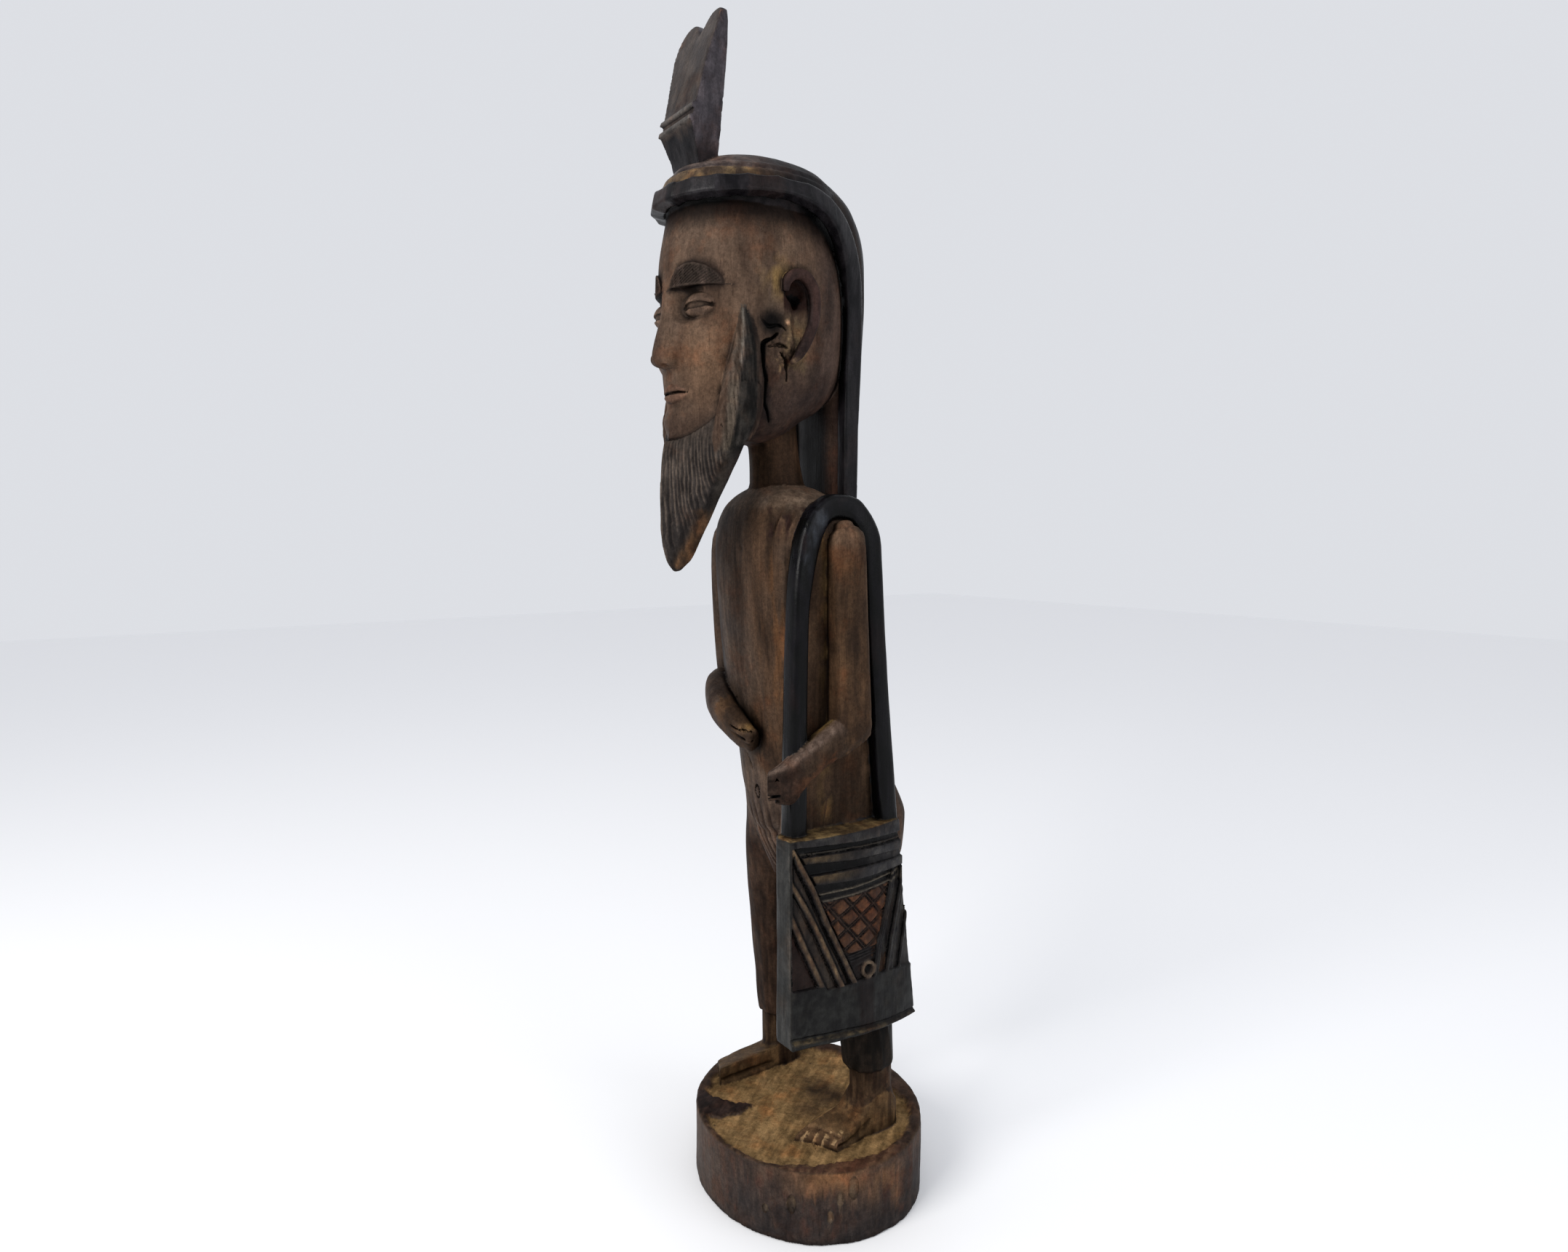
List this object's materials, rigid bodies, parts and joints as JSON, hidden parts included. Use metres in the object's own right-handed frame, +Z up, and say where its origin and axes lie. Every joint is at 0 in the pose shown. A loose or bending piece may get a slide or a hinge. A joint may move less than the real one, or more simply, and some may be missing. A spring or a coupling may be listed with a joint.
{
  "type": "messenger figure",
  "caption": "Standing wooden messenger figure with crested cap, long pointed beard and shoulder bag, carved in one piece with its oval base.",
  "frame": {"origin": "centre of the oval base's underside", "axes": "+Z up along the figure, -Y the way the figure faces, +X the figure's left side, where the bag hangs"},
  "size_m": [0.1492, 0.1668, 0.67],
  "materials": {
    "carved_wood": "old dark-stained hardwood, satin where handled, ochre dust in the recesses, near-black band, bag and cap edge"
  },
  "bodies": {
    "root": {"messenger_figure": "carved_wood"}
  },
  "joints": []
}
